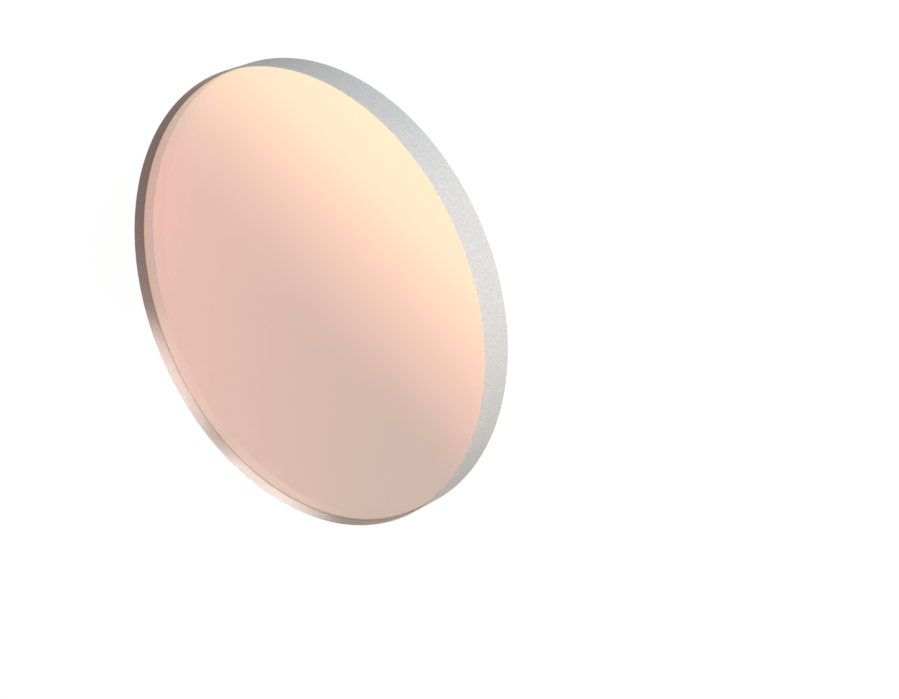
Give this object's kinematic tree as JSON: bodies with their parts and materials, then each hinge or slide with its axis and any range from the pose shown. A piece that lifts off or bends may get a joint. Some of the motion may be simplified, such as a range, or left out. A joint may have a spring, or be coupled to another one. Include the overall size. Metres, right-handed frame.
{
  "type": "spherical mirror",
  "caption": "Round thin glass mirror with a shallow concave spherical coated front, a flat back, a fine-ground rim and narrow bevelled edges.",
  "frame": {"origin": "centre of the flat back face, which the mirror lies on", "axes": "+Z along the optical axis, out of the concave coated front; X and Y lie in the back face and are interchangeable"},
  "size_m": [0.0508, 0.0508, 0.0037],
  "materials": {
    "coated_glass": "polished glass with a warm partly see-through mirror coating on the front, a fainter coating on the flat back, and a fine-ground grey rim and bevels"
  },
  "bodies": {
    "root": {"mirror_substrate": "coated_glass"}
  },
  "joints": []
}
